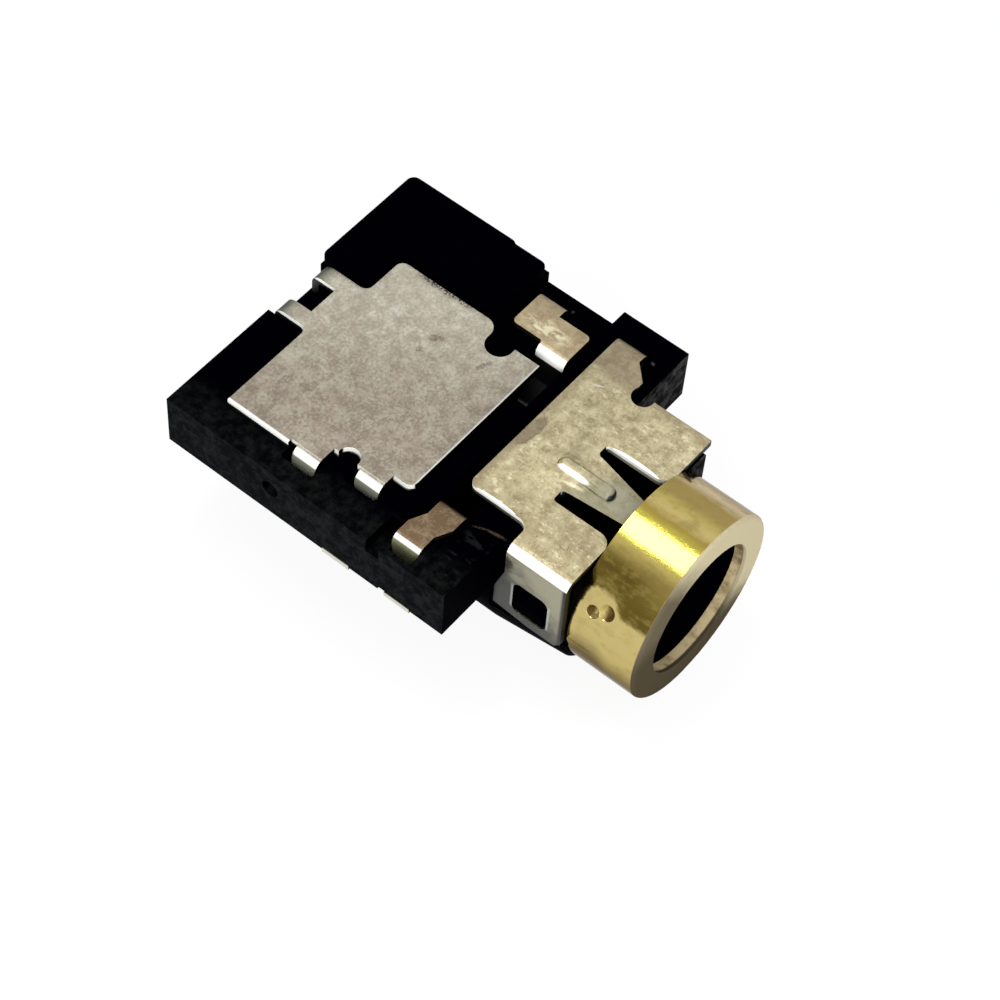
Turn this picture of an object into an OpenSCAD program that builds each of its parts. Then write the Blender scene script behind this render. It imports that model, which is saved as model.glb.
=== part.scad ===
// Stereo jack socket for 3.5 mm plugs, of the kind that sinks into a cut-out in a circuit board.
// Millimetres. The origin is the middle of the mouth, the plug comes in along +Y, and +Z is up.

/* [Plug channel] */
// Diameter of the channel that takes the plug
plug_bore_d = 3.6; // [3.55:0.01:3.7]
// Diameter of the hole that lets the plug's tip out at the back
tip_hole_d = 2.2; // [1.8:0.1:2.3]
// Thickness of the wall behind the channel
back_wall = 0.7; // [0.6:0.05:0.8]
// Length of the sloped lead-in at the channel's mouth
lead_in = 0.14; // [0.08:0.02:0.2]
// Extra radius of the channel behind the sleeve contact's front edge
channel_ease = 0.2; // [0.16:0.01:0.24]

/* [Barrel] */
// Outside diameter of the metal ring at the mouth
barrel_d = 5.8; // [5.6:0.05:6]
// Length of the ring in front of the nose
barrel_len = 2.2; // [1.8:0.05:2.6]
// Rounding of the ring's outer front edge
barrel_edge = 0.12; // [0.05:0.01:0.2]
// Distance from the ring's front face to the plastic liner
liner_setback = 0.38; // [0.2:0.02:0.6]
// Wall of the plastic liner inside the ring
liner_wall = 0.24; // [0.2:0.01:0.3]
// Diameter of the larger pit of the stake mark on the ring's left side
stake_d = 0.5; // [0.4:0.02:0.6]
// Diameter of the smaller pit behind it
stake_small = 0.4; // [0.3:0.02:0.44]
// Distance between the two pits along the ring
stake_step = 0.36; // [0.3:0.02:0.44]
// Turn about the ring from the smaller pit to the larger one
stake_turn = 4; // [0:1:8]
// Depth of the stake mark
stake_depth = 0.12; // [0.08:0.02:0.2]
// Angle of the stake mark above the left side
stake_angle = 27; // [0:1:60]
// Distance from the ring's front face to the stake mark
stake_y = 1.5; // [1.2:0.05:1.6]

/* [Housing] */
// Width of the flange that sits on the board
flange_w = 10.46; // [10.3:0.02:10.8]
// Length of the flange
flange_len = 9.6; // [9.5:0.05:10]
// Thickness of the flange
flange_t = 1.8; // [1.7:0.05:1.9]
// Height of the board seat above the plug's axis
seat_z = 0.25; // [0.2:0.05:0.35]
// Length of the nose between the ring and the flange
nose_len = 2.35; // [2.25:0.05:2.6]
// Swell of the nose's underside past its sides, at its front
nose_swell = 0.17; // [0.1:0.01:0.2]
// Growth of that swell from the front to the flange
nose_draft = 0.2; // [0.1:0.02:0.3]
// Chamfer of the nose's lower front edge
nose_edge = 0.12; // [0.05:0.01:0.16]
// Width of the keel below the flange
keel_w = 5.4; // [5:0.1:5.6]
// Distance from the flange's front to the keel
keel_setback = 1.1; // [1:0.05:1.2]
// Rounding of the keel's lower edges
keel_corner = 1.1; // [0.6:0.1:1.3]
// Height of the raised block at the back above the flange
block_h = 0.36; // [0.3:0.02:0.45]
// Length of the raised block along its right side
block_len = 4.95; // [4.8:0.05:5.1]
// Length of the block's narrower front part
block_step = 1.1; // [0.8:0.05:1.3]
// Setback of the block's right side from the flange's widest point
block_setback = 0.27; // [0.2:0.01:0.35]
// Length of the ear at the right front
ear_len = 2.22; // [2:0.02:2.4]
// Depth of the ledge between the ear and the block
ledge_drop = 0.3; // [0.2:0.02:0.4]
// Setback of the ledge's right side from the block's
ledge_setback = 0.07; // [0.04:0.01:0.12]
// Height of the low rib between the bracket and the cover
rib_h = 0.14; // [0.08:0.01:0.2]
// Diameter of the moulding pit in the left side
pit_d = 0.55; // [0.4:0.05:0.7]
// Distance from the flange's back to the pit
pit_back = 3.66; // [3.5:0.02:3.8]
// Height of the pit above the seat
pit_up = 1.05; // [0.8:0.05:1.1]

/* [Sheet metal] */
// Thickness of the cover and the bracket
sheet_t = 0.24; // [0.2:0.01:0.25]
// Thickness of the spring contacts
spring_t = 0.16; // [0.12:0.01:0.18]
// Inner radius of the bends
bend_in = 0.12; // [0.08:0.01:0.14]
// Gap around sheet metal in its slots
slot_gap = 0.05; // [0.03:0.01:0.06]
// Gap between the flat sheet metal and the raised plastic beside it
wall_gap = 0.1; // [0.06:0.01:0.12]

/* [Front bracket] */
// Width from the outside of the left flap to the right edge
bracket_w = 6.24; // [6.1:0.02:6.3]
// Length from the nose's face to the rear edge
bracket_len = 4.05; // [3.95:0.05:4.2]
// Distance from the axis to the left edge behind the flap
bracket_step = 2.19; // [2.1:0.02:2.3]
// Radius of the relief cuts behind the nose
relief = 0.34; // [0.3:0.01:0.38]
// Distance from the axis to the end of the right arm
arm_reach = 4.41; // [4.2:0.02:4.6]
// Width of the arm at its end
arm_w = 0.95; // [0.8:0.05:1]
// Depth of the left flap below the bracket's top
flap_depth = 2.9; // [2.84:0.02:2.96]
// Width of the latch window in the flap
window_w = 1.14; // [1.04:0.02:1.2]
// Height of the latch window
window_h = 1.3; // [1.2:0.02:1.36]
// Distance from the nose's face to the middle of the window
window_back = 1.12; // [1.05:0.01:1.2]
// Height of the middle of the window above the plug's axis
window_up = 0.36; // [0.32:0.02:0.4]
// Length of the tongue
tongue_len = 1.95; // [1.8:0.05:2]
// Distance from the nose's face to the tongue's tip
tongue_setback = 0.1; // [0.06:0.01:0.14]
// Width of the tongue at its root
tongue_w = 1.54; // [1.46:0.02:1.6]
// Width of the tongue at its tip
tongue_tip_w = 0.9; // [0.7:0.02:1]
// Width of the slots beside the tongue's root
slot_w = 0.4; // [0.34:0.02:0.44]
// Drop of the tongue at its tip
tongue_drop = 0.22; // [0.1:0.02:0.24]
// Length of the pressed bead on the tongue
bead_len = 1.85; // [1.6:0.05:1.9]
// Width of the bead
bead_w = 0.46; // [0.36:0.02:0.5]
// Height of the bead above the bracket's top
bead_h = 0.12; // [0.06:0.01:0.14]
// How far the bead runs past the tongue's root
bead_past = 0.68; // [0.5:0.02:0.8]
// Sideways offset of the bead to the left
bead_side = 0.03; // [0:0.01:0.08]

/* [Top cover] */
// Distance from the flange's front to the cover's front edge
cover_setback = 2.7; // [2.65:0.05:2.8]
// Length of the cover without its legs
cover_len = 5.55; // [5.5:0.05:5.6]
// Width of the cover
cover_w = 6.72; // [6.6:0.02:6.8]
// Distance from the flange's left side to the cover
cover_margin = 0.93; // [0.85:0.01:1]
// Width of each bent tab on the left
tab_w = 0.8; // [0.7:0.02:0.84]
// Distance from the cover's front to the rear tab
tab1_setback = 2.36; // [2.3:0.02:2.4]
// Distance from the cover's front to the front tab
tab2_setback = 0.62; // [0.55:0.01:0.68]
// Depth of the tabs and legs below the cover's top
tab_depth = 0.75; // [0.65:0.05:0.85]
// Setback of the rear tab's fold from the cover's left edge
tab1_in = 0.14; // [0.1:0.01:0.2]
// Setback of the front tab's fold from the cover's left edge
tab2_in = 0.65; // [0.6:0.01:0.7]
// Metal between each tab and the notch between them
tab_side = 0.14; // [0.1:0.01:0.16]
// Radius of the round notch on the right
notch_r = 0.42; // [0.36:0.01:0.46]
// Distance from the cover's front to the round notch's middle
notch_back = 1.27; // [1.2:0.01:1.34]
// Setback of the lobe in front of that notch from the cover's right edge
lobe_in = 0.37; // [0.3:0.01:0.42]
// Rounding of the corner behind the notch
notch_corner = 0.4; // [0.2:0.02:0.5]
// Step of the back edge at the right
heel = 0.38; // [0.34:0.02:0.42]
// Width of each leg at the back
leg_w = 0.52; // [0.4:0.02:0.6]
// Distance between the middles of the legs
leg_pitch = 1.54; // [1.4:0.02:1.6]
// How far the legs' common root stands behind the cover
leg_root = 0.3; // [0.24:0.02:0.36]
// Distance from the flange's back to the middle of the bent legs
leg_in = 0.3; // [0.26:0.02:0.36]
// Depth of the notch behind the legs below the flange's top
leg_notch = 0.7; // [0.65:0.05:0.75]
// Offset of the pair of legs to the left of the axis
leg_side = 0.08; // [0.04:0.01:0.12]

/* [Contacts] */
// Length of a solder tail past the edge of the flange
tail_out = 0.03; // [0.02:0.01:0.08]
// Height of the solder tails' undersides below the seat
tail_drop = 0.05; // [0.03:0.01:0.08]
// Distance from the flange's front to the sleeve contact
sleeve_y = 1.1; // [1:0.05:1.15]
// Width of the sleeve contact's strip
sleeve_w = 0.86; // [0.8:0.02:0.9]
// Width of the sleeve contact's leaf
sleeve_leaf_w = 0.5; // [0.4:0.02:0.54]
// Sideways jog of the sleeve contact's strip
sleeve_jog = 0.24; // [0.16:0.02:0.28]
// Depth of the bed under the sleeve contact's strip
bed = 0.1; // [0.06:0.01:0.14]
// Distance from the flange's left side to the sleeve contact's riser
sleeve_in = 0.62; // [0.55:0.01:0.68]
// Distance from the channel to the top of the sleeve contact's leaf
sleeve_leaf_out = 1.15; // [1.05:0.01:1.2]
// Width and depth of the pocket beside the sleeve contact's riser
pocket = 0.44; // [0.36:0.02:0.48]
// Distance from the flange's front to the ring contact
ring_y = 2.27; // [2.25:0.02:2.4]
// Width of the ring contact's leaf
ring_w = 0.96; // [0.9:0.02:1]
// Width of the ring contact's tail
ring_tail_w = 0.9; // [0.8:0.02:0.96]
// Gap along the plug's axis between the ring contact's leaf and its tail
ring_step = 0.16; // [0.1:0.01:0.2]
// Distance from the ledge's right side to the ring contact's riser
ring_in = 0.73; // [0.7:0.01:0.78]
// Setback of the ring contact's top in front of its tail from the tail's bend
ring_notch = 0.17; // [0.1:0.01:0.2]
// Distance from the channel to the top of the ring contact's leaf
ring_leaf_out = 0.84; // [0.8:0.01:0.9]
// Distance from the flange's front to the tip contact's tail
tip_y = 3.18; // [3.15:0.02:3.25]
// Width of the tip contact's tail
tip_tail_w = 0.92; // [0.8:0.02:1]
// Height of the tip contact's leaf
tip_leaf_h = 0.8; // [0.6:0.05:0.85]
// Height of that leaf's lower edge above the seat
tip_leaf_up = 0.2; // [0.16:0.01:0.24]
// Distance from the channel to the tip contact
tip_out = 1.2; // [1.15:0.01:1.25]
// Length of the tip contact's straight part
tip_straight = 1.5; // [1.3:0.05:1.6]
// Distance from the switch blade to the crest of the tip leaf
tip_crest = 2.2; // [2.1:0.05:2.4]
// Length of the tip leaf's straight end
tip_end_len = 0.6; // [0.5:0.05:0.7]
// Distance from the switch blade to the end of the tip leaf
tip_end_gap = 0.3; // [0.26:0.02:0.36]
// Distance from the channel to the switch blade
blade_out = 0.55; // [0.5:0.01:0.6]
// Length of the switch blade
blade_len = 0.7; // [0.6:0.05:0.75]
// Distance from the channel's end to the switch blade's root
blade_in = 0.16; // [0.14:0.01:0.2]
// Reach of each leaf into the plug channel
leaf_reach = 0.3; // [0.2:0.02:0.34]
// Depth of the sleeve and ring leaves below the plug's axis
leaf_drop = 0.9; // [0.8:0.05:1]
// Free space below those leaves
leaf_room = 0.3; // [0.2:0.02:0.4]

/* [Hidden] */

$fn = 64;
bend_steps = 8;     // straight pieces in one bend
past = 1;           // how far a cut runs past the face that it opens

// Radii and heights
bore_r = plug_bore_d / 2;
barrel_r = barrel_d / 2;
liner_r = bore_r + liner_wall;
floor_z = -barrel_r;
top_z = seat_z + flange_t;
sheet_mid = top_z + sheet_t / 2;
sheet_bend = bend_in + sheet_t / 2;
spring_bend = bend_in + spring_t / 2;
bend_out = spring_bend + slot_gap;          // from a riser's middle to where its bends end, with the gap
tail_z = seat_z - tail_drop + spring_t / 2;

// Places along the plug's axis
nose_y = barrel_len;
flange_y = nose_y + nose_len;
back_y = flange_y + flange_len;
channel_end = back_y - back_wall;
ear_y = flange_y + ear_len;
block_y = back_y - block_len;

// Places across
side_x = flange_w / 2;
block_x = side_x - block_setback;
ledge_x = block_x - ledge_setback;
nose_x = bracket_w / 2 - sheet_t;
nose_r = nose_x + nose_swell;
tube_r = nose_r + nose_draft;

// Bracket
bracket_x = bracket_w / 2;
bracket_back = nose_y + bracket_len;
flap_x = bracket_x - sheet_t / 2;
flap_low = top_z + sheet_t - flap_depth;
window_y = nose_y + window_back;
tongue_tip_y = nose_y + tongue_setback;
tongue_y = tongue_tip_y + tongue_len;       // root of the tongue
tongue_slope = tongue_drop / tongue_len;
slot_x = tongue_w / 2 + slot_w;
lobe_corner = 0.4;                          // rounding beside the slots

// Cover: its outline follows the flange's left side
corner = 0.25;                              // rounding of the cover's and the bracket's corners
cover_y = flange_y + cover_setback;
cover_back = cover_y + cover_len;
cover_x0 = cover_margin - side_x;
cover_x1 = cover_x0 + cover_w;
wing = 1;                                   // width of the strip that carries the rear tab
tab1 = [cover_x0 + tab1_in, cover_y + tab1_setback];
tab2 = [cover_x0 + tab2_in, cover_y + tab2_setback];
lobe_x = cover_x1 - lobe_in;
leg_half = leg_pitch / 2 + leg_w / 2;       // from the middle of the legs to their outer edges
leg_y = back_y - leg_in;

// Contacts
sleeve_mid = top_z - bed + spring_t / 2;
sleeve_riser = side_x - sleeve_in;
sleeve_leaf = bore_r + sleeve_leaf_out;
sleeve_y0 = flange_y + sleeve_y;
ring_mid = top_z + spring_t / 2;
ring_leaf = bore_r + ring_leaf_out;
ring_riser = ledge_x - ring_in;
ring_y0 = flange_y + ring_y;
ring_tail_y = ring_y0 + ring_w + ring_step;
tip_x = bore_r + tip_out;
tip_y0 = flange_y + tip_y;
tip_leaf_z = seat_z + tip_leaf_up;
tip_top = tip_leaf_z + tip_leaf_h;
crest_x = bore_r - leaf_reach;
blade_x = bore_r + blade_out;
blade_y = channel_end - blade_in;
blade_half = spring_t * 2;                  // half the width of the switch's tail
switch_x = tube_r + slot_gap + blade_half;  // the tail stands beside the tube

// A path with round bends, as pairs of a point and the direction to its left
function unit(v) = v / norm(v);
function left(d) = [-d.y, d.x];
function turned(v, a) = [v.x * cos(a) - v.y * sin(a), v.x * sin(a) + v.y * cos(a)];
function bend(corner, d1, d2, r) =
    let (turn = atan2(cross(d1, d2), d1 * d2), side = sign(turn), n1 = left(d1),
         centre = corner - d1 * r * tan(abs(turn) / 2) + side * r * n1)
    [for (k = [0 : bend_steps]) let (n = turned(n1, turn * k / bend_steps)) [centre - side * r * n, n]];
function bent_path(p, r) = [
    for (i = [0 : len(p) - 1]) each
        i == 0 ? [[p[0], left(unit(p[1] - p[0]))]] :
        i == len(p) - 1 ? [[p[i], left(unit(p[i] - p[i - 1]))]] :
        bend(p[i], unit(p[i] - p[i - 1]), unit(p[i + 1] - p[i]), r)
];

// Section of a bent sheet of thickness t along path p
module ribbon(p, t, r) {
    q = bent_path(p, r);
    polygon([for (e = q) e[0] + e[1] * t / 2,
             for (i = [len(q) - 1 : -1 : 0]) q[i][0] - q[i][1] * t / 2]);
}

// Extrusions of a drawing: of X and Z along Y, of Y and Z along X, and of X and Y along Z
module along_y(y0, y1) translate([0, y1, 0]) rotate([90, 0, 0]) linear_extrude(y1 - y0) children();
module along_x(x0, x1) translate([x0, 0, 0]) rotate([90, 0, 90]) linear_extrude(x1 - x0) children();
module along_z(z0, z1) translate([0, 0, z0]) linear_extrude(z1 - z0) children();

// Box and rectangle between two corners
module span(a, b) translate(a) cube(b - a);
module area(a, b) translate(a) square(b - a);

// Rectangle between two corners with all four corners rounded
module round_area(a, b, r) {
    area(a + [r, 0], b - [r, 0]);
    area(a + [0, r], b - [0, r]);
    for (x = [a.x + r, b.x - r], y = [a.y + r, b.y - r]) translate([x, y]) circle(r);
}

// Filler that rounds an inner corner of radius r, open to +Y and to side s
module fillet(s, r) {
    difference() {
        area([min(0, s * r), 0], [max(0, s * r), r]);
        translate([s * r, r]) circle(r);
    }
}

// Housing

module flange() {
    span([-side_x, flange_y, seat_z], [ledge_x, back_y, top_z]);
    span([0, flange_y, seat_z], [side_x, ear_y, top_z]);
    span([0, block_y, seat_z], [block_x, back_y, top_z]);
}

module block() {
    along_z(top_z, top_z + block_h) {
        round_area([cover_x1 + wall_gap, block_y], [ledge_x, back_y], corner);
        round_area([leg_half - leg_side + slot_gap, cover_back - heel + wall_gap],
                   [block_x, back_y], corner);
        round_area([cover_x1 + corner, block_y + block_step], [block_x, back_y], corner);
    }
}

// Low rib between the bracket and the cover
module rib() {
    span([-bracket_step, bracket_back + wall_gap, seat_z],
         [-slot_x, cover_y - wall_gap, top_z + rib_h]);
}

// The nose has a flat top for the bracket, and its half-round underside widens towards the flange
module nose() {
    intersection() {
        translate([0, nose_y, 0]) rotate([-90, 0, 0]) {
            cylinder(h = nose_edge, r1 = nose_r - nose_edge, r2 = nose_r);
            translate([0, 0, nose_edge]) cylinder(h = nose_len - nose_edge, r1 = nose_r, r2 = tube_r);
        }
        span([-side_x, nose_y, floor_z], [side_x, flange_y, flap_low - slot_gap]);
    }
    nose_round = bend_in + slot_gap;    // clear of the inside of the bracket's bend
    along_y(nose_y, flange_y) round_area([-nose_x, flap_low - sheet_t], [nose_x, top_z], nose_round);
    along_y(liner_setback, nose_y) circle(liner_r);
    mirror([1, 0, 0]) latch_boss();
}

// Tube under the flange, with a half-round bottom and straight sides
module tube() {
    along_y(flange_y, back_y) {
        intersection() {
            circle(tube_r);
            area([-side_x, floor_z], [side_x, 0]);
        }
        area([-tube_r, 0], [tube_r, seat_z + bed]);
    }
}

// A boss that the flap's window snaps over, with a slope at its top
module latch_boss() {
    half = [window_w, window_h] / 2 - [wall_gap, wall_gap];
    low = window_up - half.y;
    along_y(window_y - half.x, window_y + half.x)
        polygon([[nose_x - sheet_t, low], [nose_x + sheet_t, low], [nose_x + sheet_t, low + half.y * 2 / 3],
                 [nose_x, window_up + half.y], [nose_x - sheet_t, window_up + half.y]]);
}

// The keel's flat bottom is level with the ring
module keel() {
    along_y(flange_y + keel_setback, back_y) {
        round_area([-keel_w / 2, floor_z], [keel_w / 2, seat_z], keel_corner);
        area([-keel_w / 2, floor_z + keel_corner], [keel_w / 2, seat_z]);
    }
}

module plug_channel() {
    along_y(-past, channel_end) circle(bore_r);
    along_y(sleeve_y0 - slot_gap, channel_end) circle(bore_r + channel_ease);
    along_y(channel_end - past, back_y + past) circle(d = tip_hole_d);
    translate([0, liner_setback, 0]) rotate([-90, 0, 0])
        cylinder(h = lead_in, r1 = bore_r + lead_in, r2 = bore_r);
    span([-slot_x, nose_y, 0], [slot_x, tongue_y + slot_gap, top_z + past]);
}

// Ledge on the right, notch for the legs and pits around the tabs
module top_cuts() {
    span([ring_riser + spring_t / 2 + wall_gap, ear_y, top_z - ledge_drop],
         [side_x + past, block_y, top_z + past]);
    span([-leg_side - leg_half - slot_gap, leg_y - sheet_t - slot_gap, top_z - leg_notch],
         [-leg_side + leg_half + slot_gap, back_y + past, top_z + past]);
    for (t = [tab1, tab2])
        along_z(top_z + sheet_t - tab_depth, top_z + past)
            round_area(t - [sheet_t * 2, slot_gap], t + [sheet_t * 2, tab_w + sheet_t], wall_gap);
    translate([-side_x, back_y - pit_back, seat_z + pit_up]) rotate([0, 90, 0])
        cylinder(h = pit_d, d = pit_d, center = true);
}

// Room for the sleeve and ring contacts: a slot for the riser, wide enough for its bends, and a chamber
// for the leaf
module riser_slot(x, y0, y1) {
    span([x - bend_out, y0, seat_z - past], [x + bend_out, y1, top_z + past]);
}

// Groove in the flange's underside for a tail that lies across it
module tail_groove(x, y0, y1) {
    span([x, y0, seat_z - past], [side_x + past, y1, tail_z + spring_t / 2]);
}

module leaf_chamber(x, y0, y1) {
    span([bore_r / 2, y0 - slot_gap, -leaf_drop - leaf_room],
         [x + bend_out, y1 + slot_gap, top_z + past]);
}

module sleeve_room() {
    y1 = sleeve_y0 + sleeve_w + sleeve_jog;
    pocket_z = top_z - pocket;
    mirror([1, 0, 0]) {
        riser_slot(sleeve_riser, sleeve_y0 + sleeve_jog, y1);
        tail_groove(sleeve_riser - spring_bend, sleeve_y0, y1);
        leaf_chamber(sleeve_leaf, sleeve_y0, sleeve_y0 + sleeve_w);
        span([sleeve_leaf, sleeve_y0 - slot_gap, top_z - bed], [sleeve_riser, y1 + slot_gap, top_z + past]);
        span([sleeve_riser, sleeve_y0 + sleeve_jog - slot_gap, pocket_z],
             [sleeve_riser + pocket, y1 + pocket, top_z + past]);
        span([sleeve_riser - pocket, y1, pocket_z], [side_x + past, y1 + pocket, top_z + past]);
    }
}

module ring_room() {
    riser_slot(ring_riser, ring_tail_y, ring_tail_y + ring_tail_w);
    tail_groove(ring_riser - spring_bend, ring_tail_y, ring_tail_y + ring_tail_w);
    leaf_chamber(ring_leaf, ring_y0, ring_y0 + ring_w);
}

module arm_room() {
    span([arm_reach - sheet_t * 2, bracket_back - arm_w - slot_gap, seat_z - past],
         [arm_reach + slot_gap, bracket_back + slot_gap, top_z + past]);
}

module tip_room() {
    leaf_top = tip_top + slot_gap;
    mirror([1, 0, 0]) {
        span([0, tip_y0 - slot_gap, tip_leaf_z - slot_gap],
             [tip_x + spring_t / 2 + slot_gap, cover_back - heel, top_z + past]);
        span([bore_r / 2, tip_y0, tip_leaf_z - slot_gap],
             [tip_x + spring_t * 3, blade_y + spring_t / 2 + slot_gap, leaf_top]);
        span([tip_x - bend_out, tip_y0, seat_z - past],
             [tip_x + bend_out, tip_y0 + tip_tail_w, tip_leaf_z]);
        tail_groove(tip_x - spring_bend, tip_y0, tip_y0 + tip_tail_w);
        span([tip_x, blade_y - spring_t / 2 - slot_gap, tip_leaf_z - slot_gap],
             [switch_x + blade_half, blade_y + spring_t / 2 + slot_gap, leaf_top]);
        span([switch_x - blade_half, blade_y - spring_bend, seat_z - past],
             [switch_x + blade_half, back_y + past, tail_z + spring_t / 2]);
        span([switch_x - blade_half, blade_y - bend_out, seat_z - past],
             [switch_x + blade_half, blade_y + bend_out, leaf_top]);
    }
}

module housing() {
    color("#1d1d1f") difference() {
        union() {
            flange();
            block();
            rib();
            nose();
            tube();
            keel();
        }
        plug_channel();
        top_cuts();
        sleeve_room();
        ring_room();
        tip_room();
        arm_room();
    }
}

// Barrel

// A punched pit that is d wide at the ring's surface
module stake_pit(d, y, turn) {
    grow = d / 2 / stake_depth;     // how much wider the pit gets per millimetre outwards
    rotate([0, turn, 0]) translate([stake_depth - barrel_r, y, 0]) rotate([0, -90, 0])
        cylinder(h = stake_depth + past, d1 = d / 2, d2 = d + grow * past);
}

module barrel() {
    color("#c9a85a") difference() {
        rotate([-90, 0, 0]) rotate_extrude() difference() {
            union() {
                area([liner_r, barrel_edge], [barrel_r, barrel_len]);
                area([liner_r, 0], [barrel_r - barrel_edge, barrel_len]);
                translate([barrel_r - barrel_edge, barrel_edge]) circle(barrel_edge);
            }
            area([0, -past], [liner_r, barrel_len + past]);
        }
        stake_pit(stake_d, stake_y - stake_step / 2, stake_angle + stake_turn / 2);
        stake_pit(stake_small, stake_y + stake_step / 2, stake_angle - stake_turn / 2);
    }
}

// Front bracket

// Outline of the right arm, with a sloped shoulder at its root
module arm_outline() {
    root = flange_y + corner;
    neck = bracket_back - arm_w;
    shoulder = arm_reach - arm_w / 2;
    polygon([[0, root], [shoulder - (neck - root), root], [shoulder, neck], [shoulder, bracket_back],
             [0, bracket_back]]);
    area([0, neck], [arm_reach - sheet_t - bend_in, bracket_back]);
}

// Outline of the bracket's flat top, without the tongue
module bracket_top() {
    fold_x = nose_x - bend_in;
    front = nose_y + slot_gap;
    rear_cut = flange_y - relief;
    difference() {
        union() {
            area([-fold_x, front], [bracket_x, rear_cut]);
            round_area([-bracket_step, tongue_y - relief], [bracket_x, bracket_back], corner);
            translate([-bracket_step, rear_cut]) fillet(-1, relief);
            arm_outline();
        }
        translate([bracket_x - slot_gap, flange_y - slot_gap]) {
            circle(relief);
            area([0, -relief], [side_x, corner + slot_gap]);
        }
        area([-slot_x, front - past], [slot_x, tongue_y - slot_w / 2]);
        area([-tongue_w / 2, front], [tongue_w / 2, tongue_y]);
        for (s = [-1, 1]) {
            mid = s * (slot_x - slot_w / 2);
            round_area([mid - slot_w / 2, front], [mid + slot_w / 2, tongue_y], slot_w / 4);
            translate([s * slot_x, front]) fillet(s, lobe_corner);
        }
    }
}

// Outline of the tongue seen from above
module tongue_outline() {
    polygon([[-tongue_w / 2, tongue_y], [-tongue_tip_w / 2, tongue_tip_y],
             [tongue_tip_w / 2, tongue_tip_y], [tongue_w / 2, tongue_y]]);
}

module tongue() {
    intersection() {
        along_x(-tongue_w, tongue_w)
            ribbon([[tongue_y + slot_w, sheet_mid], [tongue_y - slot_w / 2, sheet_mid],
                    [tongue_tip_y - past, sheet_mid - tongue_slope * (tongue_len + past)]],
                   sheet_t, sheet_bend);
        along_z(0, top_z + past) {
            tongue_outline();
            area([-tongue_w / 2, tongue_y], [tongue_w / 2, tongue_y + slot_w]);
        }
    }
}

// The pressed bead that stiffens the tongue's root, with flanks as wide as they are high
module bead() {
    r = bead_w / 2;
    y1 = tongue_y + bead_past - r;
    y0 = tongue_y + bead_past - bead_len + r;
    translate([-bead_side, 0, top_z + sheet_t]) {
        along_y(y0, y1) polygon([[-r, -sheet_t], [r, -sheet_t], [r, 0], [r - bead_h, bead_h],
                                 [bead_h - r, bead_h], [-r, 0]]);
        for (y = [y0, y1]) translate([0, y, 0]) {
            cylinder(h = bead_h, r1 = r, r2 = r - bead_h);
            translate([0, 0, -sheet_t]) cylinder(h = sheet_t, r = r);
        }
    }
}

// The folded left side with its latch window
module flap() {
    flap_slope = flange_t / 2;      // height over which the rear edge leans back
    difference() {
        along_y(nose_y + slot_gap, flange_y - slot_gap)
            ribbon([[slot_x, sheet_mid], [flap_x, sheet_mid], [flap_x, flap_low]], sheet_t, sheet_bend);
        along_x(0, side_x) {
            round_area([window_y, window_up] - [window_w, window_h] / 2,
                       [window_y, window_up] + [window_w, window_h] / 2, corner);
            polygon([[flange_y - relief, top_z + past], [flange_y - relief, top_z - flap_slope],
                     [flange_y - slot_gap, seat_z], [flange_y, seat_z], [flange_y, top_z + past]]);
            polygon([[nose_y, flap_low - past], [nose_y, flap_low + corner], [nose_y + corner, flap_low],
                     [window_y, flap_low], [flange_y, flap_low + corner / 2], [flange_y, flap_low - past]]);
        }
        along_z(top_z - slot_gap, top_z + past) {
            area([0, nose_y], [slot_x + lobe_corner, flange_y]);
            area([0, flange_y - relief], [side_x, flange_y]);
        }
    }
}

// The arm's end bends down through the ear to the board
module arm_leg() {
    x = arm_reach - sheet_t / 2;
    along_y(bracket_back - arm_w, bracket_back)
        ribbon([[x - arm_w / 2, sheet_mid], [x, sheet_mid], [x, seat_z - tail_drop]], sheet_t, sheet_bend);
}

module front_bracket() {
    color("#c3b592") {
        along_z(top_z, top_z + sheet_t) bracket_top();
        tongue();
        bead();
        arm_leg();
        mirror([1, 0, 0]) flap();
    }
}

// Top cover

module cover_outline() {
    inner_x = cover_x0 + wing;
    back_right = cover_back - heel;
    u_mid = (tab1.y + tab2.y + tab_w) / 2;
    u_r = (tab1.y - tab2.y - tab_w) / 2 - tab_side;
    notch_x = lobe_x - notch_r / 3;
    notch_y = cover_y + notch_back;
    difference() {
        union() {
            round_area([inner_x, cover_y], [cover_x1, back_right], corner);
            area([inner_x, cover_back - wing], [0, cover_back]);
            area([lobe_x - wing, cover_y], [lobe_x, cover_y + wing]);
            area([cover_x0, tab1.y + tab_w + corner], [inner_x + wing, cover_back]);
            area(tab1, [inner_x + wing, cover_back - wing]);
            area(tab2, [inner_x + wing, tab1.y + slot_gap]);
            translate([-leg_side, 0]) {
                area([-leg_half, cover_back - wing], [leg_half, cover_back + leg_root]);
                translate([leg_half, back_right]) fillet(1, corner);
                translate([-leg_half, cover_back]) fillet(-1, corner);
            }
        }
        area([lobe_x, cover_y - past], [cover_x1 + past, notch_y]);
        area([notch_x, notch_y - notch_r], [cover_x1 + past, notch_y + notch_r]);
        translate([notch_x, notch_y]) circle(notch_r);
        translate([cover_x1, notch_y + notch_r]) fillet(-1, notch_corner);
        translate([inner_x - u_r, u_mid]) circle(u_r);
        area([cover_x0 - past, u_mid - u_r], [inner_x - u_r, u_mid + u_r]);
    }
}

// A tab on the left that bends down into its pit
module cover_tab(t) {
    fold = t.x - sheet_t * 0.75;
    along_y(t.y, t.y + tab_w)
        ribbon([[t.x + wing, sheet_mid], [fold, sheet_mid], [fold, top_z + sheet_t - tab_depth]],
               sheet_t, sheet_bend);
}

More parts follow.
